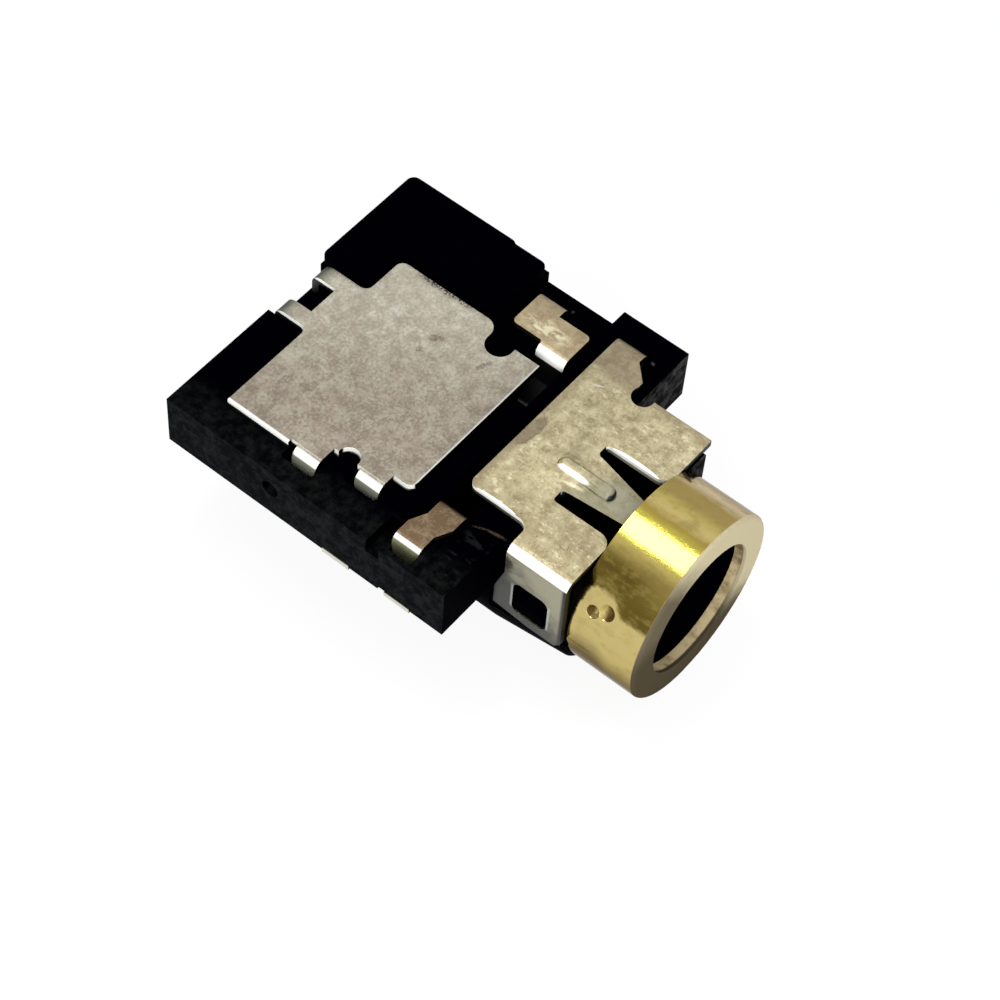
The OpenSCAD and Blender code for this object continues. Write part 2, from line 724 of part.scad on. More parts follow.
// A leg that bends down over the back edge
module cover_leg(x) {
    along_x(x - leg_w / 2, x + leg_w / 2)
        ribbon([[cover_back - wing, sheet_mid], [leg_y, sheet_mid], [leg_y, top_z + sheet_t - tab_depth]],
               sheet_t, sheet_bend);
}

module top_cover() {
    color("#b0a89b") {
        along_z(top_z, top_z + sheet_t) cover_outline();
        for (t = [tab1, tab2]) cover_tab(t);
        for (s = [-1, 1]) cover_leg(s * leg_pitch / 2 - leg_side);
    }
}

// Contacts

// Path of a side contact: tail, riser, top and a leaf that bows into the channel
function side_path(edge, riser, mid, leaf) = [
    [edge + tail_out, tail_z], [riser, tail_z], [riser, mid], [leaf, mid],
    [leaf, bore_r / 2], [crest_x, 0], [crest_x + spring_t * 2, -leaf_drop]
];

module sleeve_contact() {
    y1 = sleeve_y0 + sleeve_w;
    jog_x = (sleeve_riser + sleeve_leaf) / 2;
    tail_x = sleeve_riser + spring_bend;
    color("#b59a78") mirror([1, 0, 0]) intersection() {
        along_y(sleeve_y0, y1 + sleeve_jog)
            ribbon(side_path(side_x, sleeve_riser, sleeve_mid, sleeve_leaf), spring_t, spring_bend);
        along_z(floor_z, top_z + past) polygon([
            [0, sleeve_y0], [jog_x - sleeve_jog, sleeve_y0],
            [jog_x + sleeve_jog, sleeve_y0 + sleeve_jog], [tail_x, sleeve_y0 + sleeve_jog],
            [tail_x, sleeve_y0], [side_x + past, sleeve_y0], [side_x + past, y1],
            [tail_x + spring_t, y1], [tail_x + spring_t, y1 + sleeve_jog],
            [jog_x + sleeve_jog, y1 + sleeve_jog], [jog_x - sleeve_jog, y1],
            [sleeve_leaf, y1], [sleeve_leaf, sleeve_y0 + sleeve_leaf_w],
            [0, sleeve_y0 + sleeve_leaf_w]
        ]);
    }
}

module ring_contact() {
    y1 = ring_tail_y + ring_tail_w;
    notch_x = ring_riser - spring_bend - ring_notch;
    color("#bda673") intersection() {
        along_y(ring_y0, y1)
            ribbon(side_path(ledge_x, ring_riser, ring_mid, ring_leaf), spring_t, spring_bend);
        along_z(floor_z, top_z + past) difference() {
            union() {
                area([0, ring_y0], [notch_x, ring_y0 + ring_w]);
                area([ring_leaf + spring_bend, ring_y0], [notch_x, y1]);
                area([notch_x, ring_tail_y], [side_x + past, y1]);
            }
            translate([ring_leaf + spring_bend, y1]) mirror([0, 1]) fillet(1, spring_t);
            translate([notch_x, ring_y0]) fillet(-1, spring_t);
        }
    }
}

// The tip contact stands on edge beside the channel, with its tail below the flange
module tip_contact() {
    end_x = blade_x + spring_t;
    end_y = blade_y - tip_end_gap;
    color("#c2a878") mirror([1, 0, 0]) {
        along_z(tip_leaf_z, tip_top)
            ribbon([[tip_x, tip_y0], [tip_x, tip_y0 + tip_straight], [crest_x, blade_y - tip_crest],
                    [end_x, end_y - tip_end_len], [end_x, end_y]], spring_t, spring_bend * 2);
        along_y(tip_y0, tip_y0 + tip_tail_w)
            ribbon([[side_x + tail_out, tail_z], [tip_x, tail_z], [tip_x, tip_leaf_z + tip_leaf_h / 2]],
                   spring_t, spring_bend);
    }
}

// The blade that the tip leaf rests against while no plug is in
module tip_switch() {
    color("#c2a878") mirror([1, 0, 0]) {
        along_z(tip_leaf_z, tip_top)
            ribbon([[switch_x + blade_half, blade_y], [blade_x, blade_y], [blade_x, blade_y - blade_len]],
                   spring_t, spring_bend);
        along_x(switch_x - blade_half, switch_x + blade_half)
            ribbon([[back_y + tail_out, tail_z], [blade_y, tail_z], [blade_y, tip_leaf_z + tip_leaf_h / 2]],
                   spring_t, spring_bend);
    }
}

housing();
barrel();
front_bracket();
top_cover();
sleeve_contact();
ring_contact();
tip_contact();
tip_switch();
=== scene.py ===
"""Looks of a small stereo jack socket: finishes with worn marks and painted light and shade, and a
plain studio.
"""

import math

import bpy
from mathutils import Matrix, Vector


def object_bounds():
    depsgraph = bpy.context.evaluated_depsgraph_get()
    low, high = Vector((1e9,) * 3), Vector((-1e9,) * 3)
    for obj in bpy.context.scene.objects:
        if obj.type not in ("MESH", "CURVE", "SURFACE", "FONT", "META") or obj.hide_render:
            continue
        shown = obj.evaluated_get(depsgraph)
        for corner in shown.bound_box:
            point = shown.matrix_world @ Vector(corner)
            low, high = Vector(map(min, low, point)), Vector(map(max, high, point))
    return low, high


bl_info = {
    "name": "Jack Socket Looks",
    "version": (1, 0, 0),
    "blender": (4, 5, 0),
    "location": "View3D > Sidebar > Jack Socket",
    "description": "Finishes, worn marks and a plain studio for a small stereo jack socket",
    "category": "Object",
}

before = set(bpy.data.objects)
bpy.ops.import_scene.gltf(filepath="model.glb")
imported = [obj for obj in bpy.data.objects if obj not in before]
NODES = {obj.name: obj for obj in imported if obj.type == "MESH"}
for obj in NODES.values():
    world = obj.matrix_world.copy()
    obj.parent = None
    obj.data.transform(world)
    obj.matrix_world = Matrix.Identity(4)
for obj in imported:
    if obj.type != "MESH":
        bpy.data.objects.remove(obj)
CAD_BOX = [list(corner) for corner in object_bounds()]

MM = 0.001

# Places on the entry ring, in millimetres
RING_RADIUS = 2.9
STAKE_PLACE = 1.5

# Each contact's shift towards its lighter tone, and the corner bounding its bend's painted
# highlight
STRIPS = {
    "sleeve_contact": (-0.3, (-4.3, 8.0, 2.0)),
    "ring_contact": (0.4, (4.0, 7.8, 1.85)),
    "tip_contact": (0.2, (-4.3, 8.0, 2.2)),
    "tip_switch": (0.2, (-4.3, 8.0, 2.2)),
}

# Edges: gap that is joined, steps that are shaded smooth, and steps that are rounded
JOIN_GAP = 0.0001 * MM
SMOOTH_STEP = math.radians(14.0)
ROUNDED_STEP = math.radians(40.0)

# Studio, in metres: half of the floor's side, and where the lamps are and how large
FLOOR_HALF = 0.3
LAMP_DISTANCE = 0.12
KEY_FROM, KEY_SIZE = (0.02, 0.28, 0.95), (0.05, 0.03)
SIDE_FROM, SIDE_SIZE = (-0.75, -0.45, 0.5), (0.08, 0.08)

# Width of the camera's sensor, in millimetres
SENSOR_WIDTH = 36.0


# Properties


def colour(name, default, description):
    """A colour that the user can change."""
    return bpy.props.FloatVectorProperty(
        name=name, description=description, subtype="COLOR", size=3, min=0.0, max=1.0,
        default=default)


def share(name, default, description):
    """A number from 0 to 1 that the user can change."""
    return bpy.props.FloatProperty(
        name=name, description=description, subtype="FACTOR", min=0.0, max=1.0, default=default)


def length(name, millimetres, description):
    """A length that the user can change, given here in millimetres."""
    return bpy.props.FloatProperty(
        name=name, description=description, unit="LENGTH", precision=6, min=0.0,
        default=millimetres * MM)


def angle(name, degrees, description):
    """An angle that the user can change, given here in degrees."""
    return bpy.props.FloatProperty(
        name=name, description=description, subtype="ANGLE", default=math.radians(degrees))


class PlasticProps(bpy.types.PropertyGroup):
    """Finish of the moulded housing."""

    deep: colour("Deep black", (0.0002, 0.0002, 0.0009), "Black of the top and of the pockets")
    # Painted shadow: the top stays deep black near the cover, and has this softer black only at its
    # far left
    dull: colour("Dull black", (0.0062, 0.0072, 0.0066), "Softer black along the left of the top")
    # Painted light: lighter grey on the left side, which faces the side lamp, and fainter on the
    # other sides
    grey: colour("Rubbed grey", (0.0122, 0.0132, 0.0136), "Dull grey, in patches on the left side")
    # Painted light on the ear's front, which faces the light
    ear: colour("Ear", (0.048, 0.048, 0.048), "Lighter grey on the front of the ear")
    smear: colour("Smear", (0.045, 0.034, 0.026), "Brownish smear beside the bracket")
    chip: colour("Chips", (0.036, 0.036, 0.036), "Tiny light chips on the top")
    gloss: share("Gloss", 0.001, "Strength of the plastic's own reflection")
    rough: share("Roughness", 0.5, "Dullness of the moulded surface")
    edge: length("Edge rounding", 0.04, "Rounding of the moulded edges")


class BrassProps(bpy.types.PropertyGroup):
    """Finish of the entry ring."""

    bright: colour("Bright brass", (0.35, 0.265, 0.092), "Colour of the clean turned wall")
    # Painted highlight: lighter stripes and the yellow core of the lamp's highlight, and a painted
    # darker line
    warm: colour("Warm brass", (0.48, 0.385, 0.115), "Lighter stripes beside the highlight")
    glow: colour("Yellow brass", (0.5, 0.43, 0.075), "Yellow stripe in the highlight")
    brown: colour("Brown line", (0.36, 0.26, 0.055), "Darker line along the top of the ring")
    # Tarnish and painted dark reflection: the olive band where the ring faces dark surroundings
    tarnish_and_dark_reflection: colour("Tarnish", (0.125, 0.089, 0.016), "Olive band along the upper left of the ring")
    streak: colour("Streaks", (0.27, 0.205, 0.055), "Lighter streaks in the olive band")
    # Painted reflection of the floor on the lower left, and painted shade on the underside
    pale: colour("Pale brass", (0.57, 0.46, 0.18), "Dull tan on the lower left of the ring")
    under: colour("Underside", (0.17, 0.138, 0.07), "Darker brass on the underside")
    pit: colour("Pits", (0.1, 0.062, 0.018), "Brown walls of the punched pits")
    # Painted light and shade on the front face
    face_light: colour("Front face, light", (0.445, 0.39, 0.255), "Right of the cut front face")
    face_dark: colour("Front face, dark", (0.06, 0.048, 0.029), "Lower left of the cut front face")
    lining: colour("Inner wall", (0.52, 0.42, 0.24), "Beige wall inside the mouth")
    lining_dark: colour("Inner wall, dark", (0.16, 0.115, 0.055), "Shaded parts of the inner wall")
    # Painted sheen along the upper right
    sheen: colour("Sheen", (0.7, 0.6, 0.42), "Pale stripe along the right of the ring")
    grazing: colour("Grazing tint", (0.55, 0.5, 0.45), "Tint of brass seen almost edge on")
    rough: share("Roughness", 0.13, "Dullness of the turned wall")
    edge: length("Edge rounding", 0.02, "Rounding of the ring's edges")


class PlateProps(bpy.types.PropertyGroup):
    """Finish of the sheet metal and of the contacts."""

    cover_dark: colour("Cover, dark", (0.2, 0.166, 0.128), "Darker patches of the cover")
    cover_light: colour("Cover, light", (0.43, 0.405, 0.325), "Lighter patches of the cover")
    blush: colour("Blush", (0.31, 0.25, 0.215), "Pinkish tint that drifts over the cover")
    bracket_dark: colour("Bracket, dark", (0.25, 0.2, 0.11), "Darker patches of the bracket")
    bracket_light: colour("Bracket, light", (0.56, 0.505, 0.32), "Lighter patches of the bracket")
    scuff: colour("Scuffs", (0.14, 0.112, 0.084), "Scuffs on the cover, scratch on the bracket")
    fleck: colour("Flecks", (0.74, 0.69, 0.48), "Light flecks on the bracket, streaks on a contact")
    # Stain at the rear, and painted shade along the right edge and the arm
    stain_and_shade: colour("Stain", (0.2, 0.155, 0.108), "Brown stain at the bracket's rear and right")
    # Painted reflection: the tongue is greyer where it slopes down
    tongue: colour("Tongue", (0.23, 0.217, 0.13), "Smoother, greyer metal of the tongue")
    # Painted light at the flap's upper front, and painted shade at its lower rear; the dark one
    # also marks worn cover edges
    flap: colour("Flap, light", (0.225, 0.211, 0.142), "Upper front part of the flap on the left")
    flap_dark: colour("Flap, dark", (0.02, 0.02, 0.016), "Lower rear of the flap, worn cover edges")
    tab: colour("Tab", (0.15, 0.153, 0.118), "Grey of the cover's tabs and legs below their bends")
    # Painted light at the tabs' lower ends
    tab_low: colour("Tab, low", (0.45, 0.455, 0.36), "Lighter grey at the tabs' lower end")
    strip_dark: colour("Contact, dark", (0.13, 0.085, 0.05), "Darker patches of the contacts")
    strip_light: colour("Contact, light", (0.4, 0.33, 0.205), "Lighter patches of the contacts")
    riser: colour("Riser", (0.165, 0.17, 0.09), "Olive tone of the contacts below their bends")
    tail: colour("Tail", (0.42, 0.42, 0.37), "Light metal of the solder tails")
    # Painted white highlight on bends and on edges that face the left
    highlight_white: colour("Bare edge", (0.97, 0.97, 0.93), "Burnished bends, and edges on the left")
    # Painted highlight lines along some cut edges and window lips, and pale flecks of the plating
    rim: colour("Rim", (0.62, 0.64, 0.63), "Bright line along some cut edges, pale flecks")
    # Painted shade on faces at the front and in deep places
    shade: colour("Dark edge", (0.002, 0.0018, 0.0015), "Sheared front faces, and deep shade")
    rough: share("Roughness", 0.46, "Dullness of the plated sheet")
    edge: length("Edge rounding", 0.03, "Rounding of the sheets' edges")
    strip_edge: length("Contact edge rounding", 0.018, "Rounding of the contacts' edges")


class StageProps(bpy.types.PropertyGroup):
    """Floor, light and camera."""

    floor: colour("Floor", (0.9, 0.9, 0.9), "Colour of the floor")
    shadow: share("Shadow", 0.11, "How strongly the object's shadow shows on the floor")
    world: bpy.props.FloatProperty(
        name="World", description="Strength of the light from all round", min=0.0, default=0.92)
    key: bpy.props.FloatProperty(
        name="Key light", description="Brightness of the soft light above", min=0.0, default=8.0)
    side: bpy.props.FloatProperty(
        name="Side light", description="Brightness of the soft light on the left", min=0.0,
        default=5.0)
    lens: bpy.props.FloatProperty(
        name="Lens", description="Focal length of the camera", subtype="DISTANCE_CAMERA",
        default=101.9)
    spot: bpy.props.FloatVectorProperty(
        name="Camera place", description="Where the camera stands", subtype="XYZ", unit="LENGTH",
        size=3, precision=6, default=(-0.036970, -0.018944, 0.062509))
    around: angle("Around", -55.226, "Turn of the camera about the vertical")
    above: angle("Above", 54.803, "Height of the camera's line of sight")
    roll: angle("Roll", 5.163, "Tilt of the camera about its line of sight")


# Shader maths


def plug(entry, value):
    """Links a signal to an input, or sets the input to a plain value."""
    if isinstance(value, Signal):
        entry.id_data.links.new(value.socket, entry)
    elif entry.type == "RGBA" and len(value) == 3:
        entry.default_value = (*value, 1.0)
    else:
        entry.default_value = value


def set_stops(elements, stops):
    """Gives a colour ramp its stops, each a place from 0 to 1 and a colour."""
    while len(elements) < len(stops):
        elements.new(1.0)
    for element, (place, paint) in zip(elements, stops):
        element.position = place
        element.color = (*paint, 1.0)


class Signal:
    """An output socket that takes part in Python arithmetic."""

    def __init__(self, socket):
        self.socket = socket

    def math(self, operation, *terms):
        node = self.socket.id_data.nodes.new("ShaderNodeMath")
        node.operation = operation
        for entry, term in zip(node.inputs, (self, *terms)):
            plug(entry, term)
        return Signal(node.outputs[0])

    def beside(self, name):
        """Another output of the same node."""
        return Signal(self.socket.node.outputs[name])

    def __add__(self, other):
        return self.math("ADD", other)

    def __sub__(self, other):
        return self.math("SUBTRACT", other)

    def __mul__(self, other):
        return self.math("MULTIPLY", other)

    def __truediv__(self, other):
        return self.math("DIVIDE", other)

    def __neg__(self):
        return self * -1.0

    def __abs__(self):
        return self.math("ABSOLUTE")

    def __rsub__(self, other):
        return -self + other

    def __or__(self, other):
        return self.math("MAXIMUM", other)

    __radd__ = __add__
    __rmul__ = __mul__


class Graph:
    """A node tree that is built one node at a time."""

    def __init__(self, tree):
        self.tree = tree

    def node(self, kind, settings=None, sockets=None, out=0):
        """Adds a node, sets it up, then fills its sockets, and returns one of its outputs."""
        node = self.tree.nodes.new(kind)
        for name, value in (settings or {}).items():
            if name == "stops":
                set_stops(node.color_ramp.elements, value)
            else:
                setattr(node, name, value)
        for name, value in (sockets or {}).items():
            plug(node.inputs[name], value)
        return Signal(node.outputs[out]) if node.outputs else None


class Finish(Graph):
    """A material with one Principled shader, whose patterns are in millimetres of the CAD frame."""

    def __init__(self, name, **fixed):
        self.material = bpy.data.materials.new(name)
        self.material.use_nodes = True
        super().__init__(self.material.node_tree)
        self.shader = self.tree.nodes["Principled BSDF"]
        self.feed(**fixed)
        spot = self.node("ShaderNodeTexCoord", out="Object")
        self.at = self.node("ShaderNodeVectorMath", {"operation": "SCALE"},
                            {0: spot, "Scale": 1.0 / MM})
        self.x, self.y, self.z = self.parts(self.at)
        self.nx, self.ny, self.nz = self.parts(spot.beside("Normal"))

    def feed(self, **sockets):
        """Sets or links sockets of the shader, whose names are written with underscores."""
        for name, value in sockets.items():
            plug(self.shader.inputs[name.replace("_", " ")], value)

    def parts(self, vector):
        """The x, y and z of a vector."""
        first = self.node("ShaderNodeSeparateXYZ", sockets={0: vector})
        return first, first.beside("Y"), first.beside("Z")

    def noise(self, size, detail=2.0, rough=0.5, stretch=(1.0, 1.0, 1.0), seed=0.0):
        """Noise from 0 to 1 with blotches about size millimetres wide, drawn out by stretch."""
        scale = tuple(1.0 / (size * s) for s in stretch)
        at = self.node("ShaderNodeVectorMath", {"operation": "MULTIPLY_ADD"},
                       {0: self.at, 1: scale, 2: (seed, seed, seed)})
        return self.node("ShaderNodeTexNoise", None,
                         {"Vector": at, "Scale": 1.0, "Detail": detail, "Roughness": rough})

    def rise(self, value, low, high):
        """0 where value is at low, 1 where it is at high, and smooth between."""
        return self.node("ShaderNodeMapRange", {"interpolation_type": "SMOOTHSTEP"},
                         {"Value": value, "From Min": low, "From Max": high})

    def blend(self, factor, first, second):
        """Colour that goes from first to second as factor goes from 0 to 1."""
        return self.node("ShaderNodeMix", {"data_type": "RGBA"},
                         {0: factor, 6: first, 7: second}, out=2)

    def ramp(self, value, low, high, stops):
        """Colour by value: each stop is a value between low and high, and a colour."""
        span = high - low
        places = [((at - low) / span, paint) for at, paint in stops]
        return self.node("ShaderNodeValToRGB", {"stops": places}, {"Fac": (value - low) / span})

    def oval(self, across, along, size):
        """Square of the distance from an oval's middle, which is 1 at its rim."""
        u, v = across / size[0], along / size[1]
        return u * u + v * v

    def patch(self, middle, size, turn=0.0, soft=0.6):
        """An oval mark seen from above: middle and half sizes in millimetres, turn in degrees."""
        c, s = math.cos(math.radians(turn)), math.sin(math.radians(turn))
        dx, dy = self.x - middle[0], self.y - middle[1]
        return self.rise(self.oval(dx * c + dy * s, dy * c - dx * s, size), 1.0, 1.0 - soft)

    def bump(self, height, depth):
        """Dents or raises the surface by height times depth millimetres."""
        dents = self.node("ShaderNodeBump", None, {"Height": height, "Distance": depth * MM})
        self.feed(Normal=dents)


# Mesh helpers


def clean_shading():
    """Node group that shades small steps smooth and keeps the sharp ones."""
    tree = bpy.data.node_groups.new("clean shading", "GeometryNodeTree")
    for way in ("INPUT", "OUTPUT"):
        tree.interface.new_socket("Geometry", in_out=way, socket_type="NodeSocketGeometry")
    g = Graph(tree)
    step = g.node("GeometryNodeInputMeshEdgeAngle")
    sharp = g.node("FunctionNodeCompare", {"operation": "GREATER_THAN"},
                   {"A": step, "B": SMOOTH_STEP})
    shaded = g.node("GeometryNodeSetMeshNormal", {"mode": "SHARPNESS"}, {
        "Mesh": g.node("NodeGroupInput"), "Remove Custom": True, "Edge Sharpness": sharp})
    g.node("NodeGroupOutput", None, {"Geometry": shaded})
    return tree


def soften(node, width):
    """Rounds the sharp edges of a CAD solid a little, without touching its mesh."""
    solid = NODES[node]
    weld = solid.modifiers.new("join faces", "WELD")
    weld.merge_threshold = JOIN_GAP
    bevel = solid.modifiers.new("edge rounding", "BEVEL")
    bevel.width = width
    bevel.segments = 2
    bevel.limit_method = "ANGLE"
    bevel.angle_limit = ROUNDED_STEP
    shading = solid.modifiers.new("clean shading", "NODES")
    shading.node_group = bpy.data.node_groups.get("clean shading") or clean_shading()


def dress(node, finish, edge):
    """Gives a CAD solid its finish and its rounded edges."""
    soften(node, edge)
    solid = NODES[node]
    solid.data.materials.clear()
    solid.data.materials.append(finish.material)


# Finishes


def plastic_finish(p):
    """Matte black moulding: deep black on top, mottled, with painted light on the left side and the
    ear.
    """
    f = Finish("moulded black plastic", Specular_IOR_Level=p.gloss)
    mottle = f.rise(f.noise(size=0.3, detail=6.0, rough=0.72), 0.4, 0.66)
    grain = f.noise(size=0.05, rough=0.6, seed=7.0)
    strokes = f.noise(size=0.16, detail=3.0, rough=0.6, stretch=(1.0, 3.0, 1.0), seed=17.0)

    # Softer black along the far left of the flange's top, with painted shadow left black near the
    # cover, and strokes in its front corner
    low_top = f.rise(f.nz, 0.5, 0.9) * f.rise(f.z, 2.3, 2.2)
    border = f.rise(-f.x, 3.9, 4.8) * (0.15 + 0.85 * mottle)
    corner = f.rise(f.y, 5.6, 5.2) * f.rise(-f.x, 3.0, 3.3) * f.rise(strokes, 0.52, 0.66)
    paint = f.blend(low_top * (border | corner), p.deep, p.dull)

    # Brown smear beside the bracket
    smear = (f.patch(middle=(-2.86, 4.76), size=(0.36, 0.06), turn=-80.0, soft=0.9)
             | 0.7 * f.patch(middle=(-2.95, 5.16), size=(0.34, 0.04), turn=-68.0, soft=0.9))
    paint = f.blend(low_top * smear * f.rise(grain, 0.3, 0.55), paint, p.smear)

    # Chips on the ear and beside the ring contact's tab
    chips = (f.patch(middle=(4.3, 5.08), size=(0.09, 0.06), turn=60.0, soft=1.0)
             | 0.5 * f.patch(middle=(4.28, 7.83), size=(0.08, 0.06), soft=1.0))
    paint = f.blend(low_top * chips, paint, p.chip)

    # Painted light: lighter mottled grey on the left side, which faces the side lamp, fainter grey
    # on the right, rear and lower sides, and grey on the ear's front
    left = f.rise(-f.nx, 0.4, 0.8) * f.rise(-f.x, 4.7, 4.9)
    plain = f.rise(f.nx | f.ny | -f.nz, 0.4, 0.8)
    painted_side_light = left * (0.26 + 0.6 * mottle) | plain * (0.4 + 0.3 * mottle)
    paint = f.blend(painted_side_light * (0.6 + 0.8 * grain), paint, p.grey)
    ear = f.rise(-f.ny, 0.4, 0.8) * f.rise(f.x, 2.0, 2.6) * f.rise(f.y, 5.5, 5.0)
    paint = f.blend(ear * (0.1 + 0.9 * mottle), paint, p.ear)

    f.feed(Base_Color=paint, Roughness=p.rough + 0.2 * (grain - 0.5))
    f.bump(grain + 2.0 * mottle, depth=0.004)
    return f


def brass_finish(p):
    """Turned brass with bands of painted reflection along it, an olive one partly tarnish, a front
    face with painted light and shade, and a beige inner wall. The bands lie at angles about the
    ring's axis, with 0 degrees on the left and 90 on top."""
    f = Finish("turned brass", Specular_IOR_Level=0.0, Specular_Tint=p.grazing)
    turn = f.z.math("ARCTAN2", -f.x) * math.degrees(1.0)
    far = (f.x * f.x + f.z * f.z).math("SQRT")
    lines = f.noise(size=0.14, detail=3.0, rough=0.6, stretch=(1.0, 6.0, 1.0))
    blotch = f.noise(size=0.42, detail=4.0, rough=0.7, stretch=(1.0, 1.6, 1.0), seed=3.0)
    fleck = f.noise(size=0.14, detail=3.0, rough=0.65, seed=21.0)

    # Bands of painted reflection with ragged borders, of which the pale one bulges round the stake
    # mark
    bulge = 8.0 * f.rise(turn, 60.0, 40.0) * f.rise(abs(f.y - 1.6), 0.8, 0.2)
    ragged = turn + 4.0 * (fleck - 0.5) + 5.0 * (lines - 0.5) - bulge
    # Painted shade underneath, painted floor reflection on the lower left, tarnish with painted
    # dark reflection, a painted highlight with lighter stripes, a painted darker line, and a
    # painted sheen
    wall = f.ramp(ragged, -180.0, 180.0, [
        (-170.0, p.bright), (-90.0, p.under), (-17.0, p.under), (2.0, p.pale), (30.0, p.pale),
        (32.0, p.tarnish_and_dark_reflection), (53.0, p.tarnish_and_dark_reflection), (59.0, p.streak), (65.0, p.warm), (69.0, p.glow),
        (83.0, p.glow), (88.0, p.brown), (94.0, p.pale), (100.0, p.warm), (106.0, p.bright),
        (116.0, p.bright), (127.0, p.sheen), (150.0, p.bright)])

    # Light streaks in the olive band, and cloudy patches on the others
    olive = f.rise(ragged, 30.5, 32.0) * f.rise(ragged, 64.0, 54.0)
    streaks = (f.rise(0.3 * lines + 0.7 * blotch, 0.46, 0.62)
               | f.rise(f.y, 1.2, 0.2) * f.rise(turn, 38.0, 56.0))
    wall = f.blend(0.8 * olive * streaks, wall, p.streak)
    cloudy = (0.3 + 0.25 * f.rise(turn, 84.0, 95.0)) * f.rise(blotch, 0.46, 0.7)
    wall = f.blend(cloudy * (1.0 - olive), wall, p.streak)

    # A groove, a nick, and the two pits of the stake mark, with painted shade at the pits' outer
    # ends
    groove = f.rise(abs(turn - 51.0 + 5.0 * (fleck - 0.5)), 1.3, 0.5) * f.rise(f.y, 0.9, 1.2)
    nick = f.rise(abs(turn + 4.0 + 4.0 * (fleck - 0.5)), 1.2, 0.4) * f.rise(f.y, 1.35, 1.5)
    pit = f.rise(far, RING_RADIUS - 0.007, RING_RADIUS - 0.022) * f.rise(f.y, 0.3, 0.5)
    outer = f.rise(abs(f.y - STAKE_PLACE + 0.2 * (fleck - 0.5)), 0.06, 0.24)
    wall = f.blend(0.45 * (groove | nick) | pit * (0.3 + 0.7 * outer), wall, p.pit)

    # Front face, with painted light towards the upper right and painted shade lower down, and the
    # wall inside the mouth
    front = f.rise(f.y, 0.12, 0.08)
    lit = f.rise(0.81 * f.x + 0.59 * f.z + 0.7 * (blotch - 0.5), -0.4, 1.4)
    lit = (lit | 0.12 * f.rise(f.z, 0.0, 1.3)) * f.rise(f.z + 0.5 * (blotch - 0.5), -2.2, -0.9)
    paint = f.blend(front, wall, f.blend(lit, p.face_dark, p.face_light))
    inside = f.rise(far, 2.2, 2.1) * (1.0 - front)
    lining = f.blend(f.rise(blotch - 0.1 * f.z, 0.35, 0.75), p.lining_dark, p.lining)

    f.feed(Base_Color=f.blend(inside, paint, lining),
           Roughness=p.rough + 0.12 * (blotch - 0.5) + 0.3 * (front | pit),
           Metallic=1.0 - (inside | front | 0.5 * pit))
    f.bump(0.2 * lines + blotch, depth=0.006)
    return f


def sheet(f, p, paint, below, painted_highlight, dark=0.0, light=0.0, matte=0.0):
    """Feeds a sheet's paint and its edges. Faces on the left get a painted white highlight where
    painted_highlight is 1 and have the colour below elsewhere; faces at the front get painted
    shade, and faces to the right and rear are partly painted shade. All edges are painted dark
    where dark is 1, and are painted like the rest where light is 1. Nothing is mirrored where matte
    is 1."""
    edges = (1.0 - dark) * (1.0 - light)
    # Painted light: white highlight on faces to the left, and painted shade on faces at the front,
    # right and rear
    left = f.rise(-f.nx, 0.3, 0.5) * edges
    front = f.rise(-f.ny, 0.3, 0.7) * (1.0 - light) | f.rise(f.nz, 0.5, 0.2) * dark
    away = f.rise(f.nx | f.ny, 0.3, 0.8) * edges
    paint = f.blend(left, f.blend(0.6 * away, paint, p.shade), below)
    paint = f.blend(front, paint, p.shade)
    grain = f.noise(size=0.06, rough=0.6, seed=12.0)
    f.feed(Base_Color=f.blend(left * painted_highlight, paint, p.highlight_white), Metallic=1.0 - 0.9 * (left | matte),
           Roughness=p.rough + 0.2 * (grain - 0.5))


